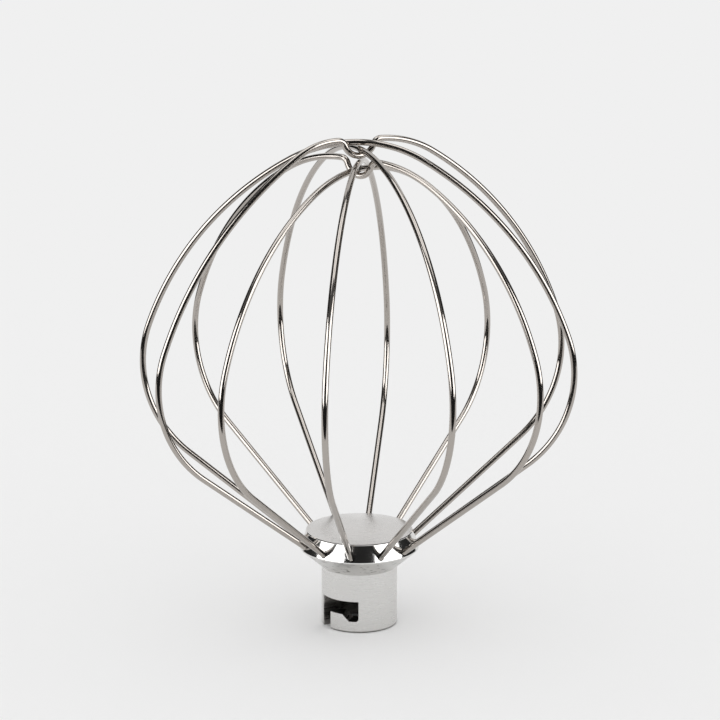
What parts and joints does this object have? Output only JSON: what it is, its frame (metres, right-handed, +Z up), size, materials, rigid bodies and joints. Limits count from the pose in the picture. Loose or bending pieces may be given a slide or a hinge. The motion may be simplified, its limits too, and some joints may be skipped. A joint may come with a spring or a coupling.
{
  "type": "stand mixer wire whip",
  "caption": "Balloon wire whip for a stand mixer: crossed steel wire loops set in a flared aluminium hub with a domed cap and a J-slot drive socket.",
  "frame": {"origin": "centre of the hub's foot, on the axis of the drive socket", "axes": "+Z up through the balloon, along the hub's axis; -Y faces the side where the J-slot ends"},
  "size_m": [0.1367, 0.1386, 0.1565],
  "materials": {
    "hub_aluminium": "satin cylinder, polished bevel",
    "cap_aluminium": "fine turned satin",
    "ring_steel": "plain",
    "wire_steel": "bright drawn stainless"
  },
  "bodies": {
    "root": {"hub_body": "hub_aluminium", "hub_cap": "cap_aluminium", "clamp_ring": "ring_steel", "whisk_wire_1": "wire_steel", "whisk_wire_2": "wire_steel", "whisk_wire_3": "wire_steel", "whisk_wire_4": "wire_steel", "whisk_wire_5": "wire_steel", "whisk_wire_6": "wire_steel"}
  },
  "joints": []
}
